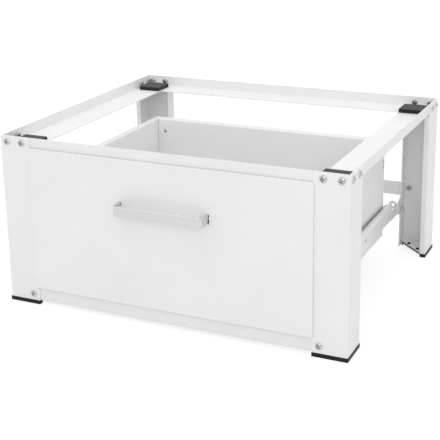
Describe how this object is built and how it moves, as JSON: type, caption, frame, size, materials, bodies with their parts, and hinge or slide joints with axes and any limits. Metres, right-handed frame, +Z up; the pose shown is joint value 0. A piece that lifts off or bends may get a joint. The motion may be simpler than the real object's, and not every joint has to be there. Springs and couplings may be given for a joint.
{
  "type": "washer pedestal drawer",
  "caption": "White steel pedestal for a washing machine, with bolted corner legs, angle rails, rubber pads and a pull-out drawer on ball-bearing slides.",
  "frame": {"origin": "on the floor, at the centre of the rectangle that the whole object covers", "axes": "+X to the right seen from the drawer front, +Y to the back, +Z up"},
  "size_m": [0.6364, 0.5697, 0.3055],
  "materials": {
    "white_steel": "satin powder coat",
    "slide_steel": "bright zinc",
    "screw_steel": "polished zinc",
    "nut_steel": "zinc",
    "handle_metal": "satin silver",
    "pad_rubber": "matt black",
    "foot_plastic": "matt black"
  },
  "bodies": {
    "frame": {"leg_front_left": "white_steel", "leg_front_right": "white_steel", "leg_rear_left": "white_steel", "leg_rear_right": "white_steel", "foot_front_left": "foot_plastic", "foot_front_right": "foot_plastic", "foot_rear_left": "foot_plastic", "foot_rear_right": "foot_plastic", "top_rail_front": "white_steel", "top_rail_rear": "white_steel", "top_rail_left": "white_steel", "top_rail_right": "white_steel", "pad_front_left": "pad_rubber", "pad_front_right": "pad_rubber", "pad_rear_left": "pad_rubber", "pad_rear_right": "pad_rubber", "lower_rail": "white_steel", "rear_brace": "white_steel", "corner_screws": "screw_steel", "corner_nuts": "nut_steel", "lower_rail_screws": "screw_steel", "lower_rail_nuts": "nut_steel", "brace_screws": "screw_steel", "brace_nuts": "nut_steel", "slide_outer_left": "slide_steel", "slide_outer_right": "slide_steel", "slide_screws": "screw_steel", "slide_nuts": "nut_steel"},
    "drawer": {"drawer_panel": "white_steel", "drawer_handle": "handle_metal", "handle_nuts": "nut_steel", "box_front": "white_steel", "box_floor": "white_steel", "box_side_left": "white_steel", "box_side_right": "white_steel", "box_back": "white_steel", "box_rivets": "screw_steel", "slide_inner_left": "slide_steel", "slide_inner_right": "slide_steel", "runner_screws": "screw_steel"},
    "slide_middles": {"slide_middle_left": "slide_steel", "slide_middle_right": "slide_steel"},
    "outer_cage_set": {"outer_cages": "slide_steel", "outer_balls": "screw_steel"},
    "inner_cage_set": {"inner_cages": "slide_steel", "inner_balls": "screw_steel"}
  },
  "joints": [
    {"name": "drawer_slide", "type": "slide", "parent": "frame", "child": "drawer", "axis": [0, -1, 0], "range_m": [0, 0.38]},
    {"name": "middle_slide", "type": "slide", "parent": "frame", "child": "slide_middles", "axis": [0, -1, 0], "range_m": [0, 0.1905]},
    {"name": "outer_cage_slide", "type": "slide", "parent": "frame", "child": "outer_cage_set", "axis": [0, -1, 0], "range_m": [0, 0.0955]},
    {"name": "inner_cage_slide", "type": "slide", "parent": "frame", "child": "inner_cage_set", "axis": [0, -1, 0], "range_m": [0, 0.2855]}
  ],
  "couplings": [
    {"joint": "middle_slide", "follows": "drawer_slide", "ratio": 0.5},
    {"joint": "outer_cage_slide", "follows": "drawer_slide", "ratio": 0.25},
    {"joint": "inner_cage_slide", "follows": "drawer_slide", "ratio": 0.75}
  ]
}
